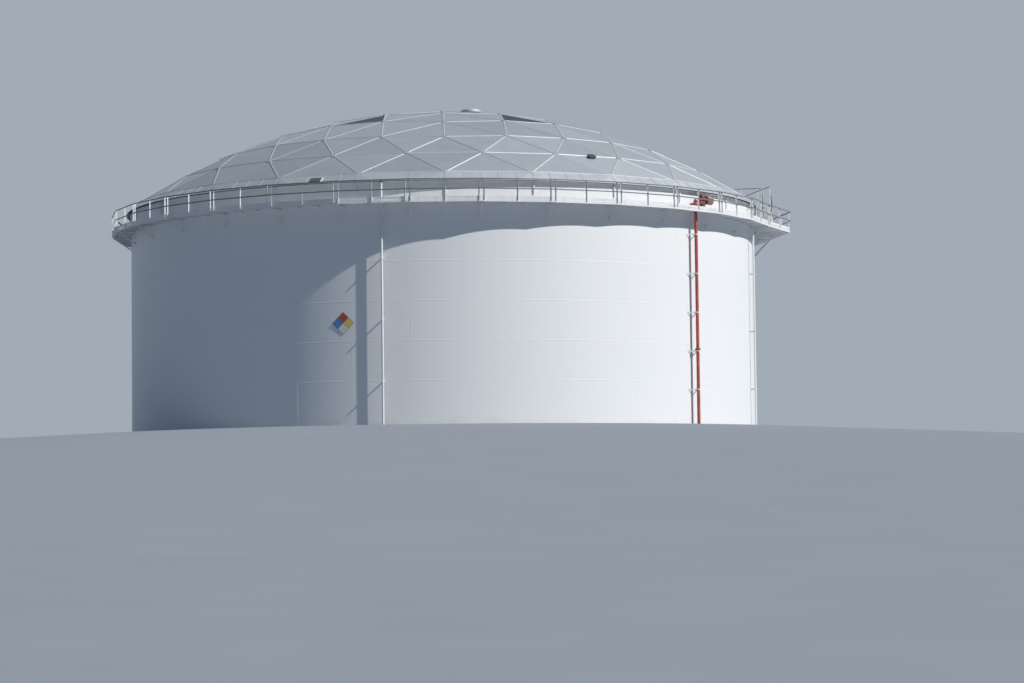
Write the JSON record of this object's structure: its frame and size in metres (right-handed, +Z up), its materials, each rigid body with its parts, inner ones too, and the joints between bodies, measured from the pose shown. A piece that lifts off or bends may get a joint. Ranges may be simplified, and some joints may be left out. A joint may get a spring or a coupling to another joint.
{
  "type": "vertical storage tank",
  "caption": "Flat-bottomed upright steel storage tank with a walkway round the rim, a geodesic dome roof, a curved stair, foam risers and service pipes.",
  "frame": {"origin": "centre of the tank bottom, on the ground", "axes": "+Z up along the tank axis; -Y towards the side with the diamond plate; +X towards the platform"},
  "size_m": [36.5467, 35.9357, 18.0741],
  "materials": {
    "white_paint": "weathered white gloss paint",
    "mill_aluminium": "dull mill finish",
    "red_paint": "faded red paint",
    "galvanized_steel": "dull zinc",
    "placard_paint": "four coloured quarters on a plate"
  },
  "bodies": {
    "root": {"bottom_plate": "white_paint", "shell_wall_1": "white_paint", "shell_wall_2": "white_paint", "shell_wall_3": "white_paint", "shell_wall_4": "white_paint", "shell_wall_5": "white_paint", "shell_wall_6": "white_paint", "walkway_front": "white_paint", "walkway_right": "white_paint", "walkway_rear_right": "white_paint", "walkway_rear_left": "white_paint", "walkway_left": "white_paint", "gauge_platform": "white_paint", "handrail_front": "white_paint", "handrail_right": "white_paint", "handrail_rear_right": "white_paint", "handrail_rear_left": "white_paint", "handrail_left": "white_paint", "handrail_platform": "white_paint", "crossover_stile": "white_paint", "stair_upper_flight": "white_paint", "stair_lower_flight": "white_paint", "stair_rail_upper_inner": "white_paint", "stair_rail_upper_outer": "white_paint", "stair_rail_lower_inner": "white_paint", "stair_rail_lower_outer": "white_paint", "drain_pipe_1": "white_paint", "drain_pipe_2": "white_paint", "drain_pipe_3": "white_paint", "dome_sector_1": "mill_aluminium", "dome_sector_2": "mill_aluminium", "dome_sector_3": "mill_aluminium", "dome_sector_4": "mill_aluminium", "dome_sector_5": "mill_aluminium", "dome_sector_6": "mill_aluminium", "dome_flashing_1": "mill_aluminium", "dome_flashing_2": "mill_aluminium", "dome_flashing_3": "mill_aluminium", "dome_flashing_4": "mill_aluminium", "centre_vent": "mill_aluminium", "foam_riser_front": "red_paint", "foam_riser_rear": "red_paint", "dome_hatch": "galvanized_steel", "hazard_plate": "placard_paint"}
  },
  "joints": []
}
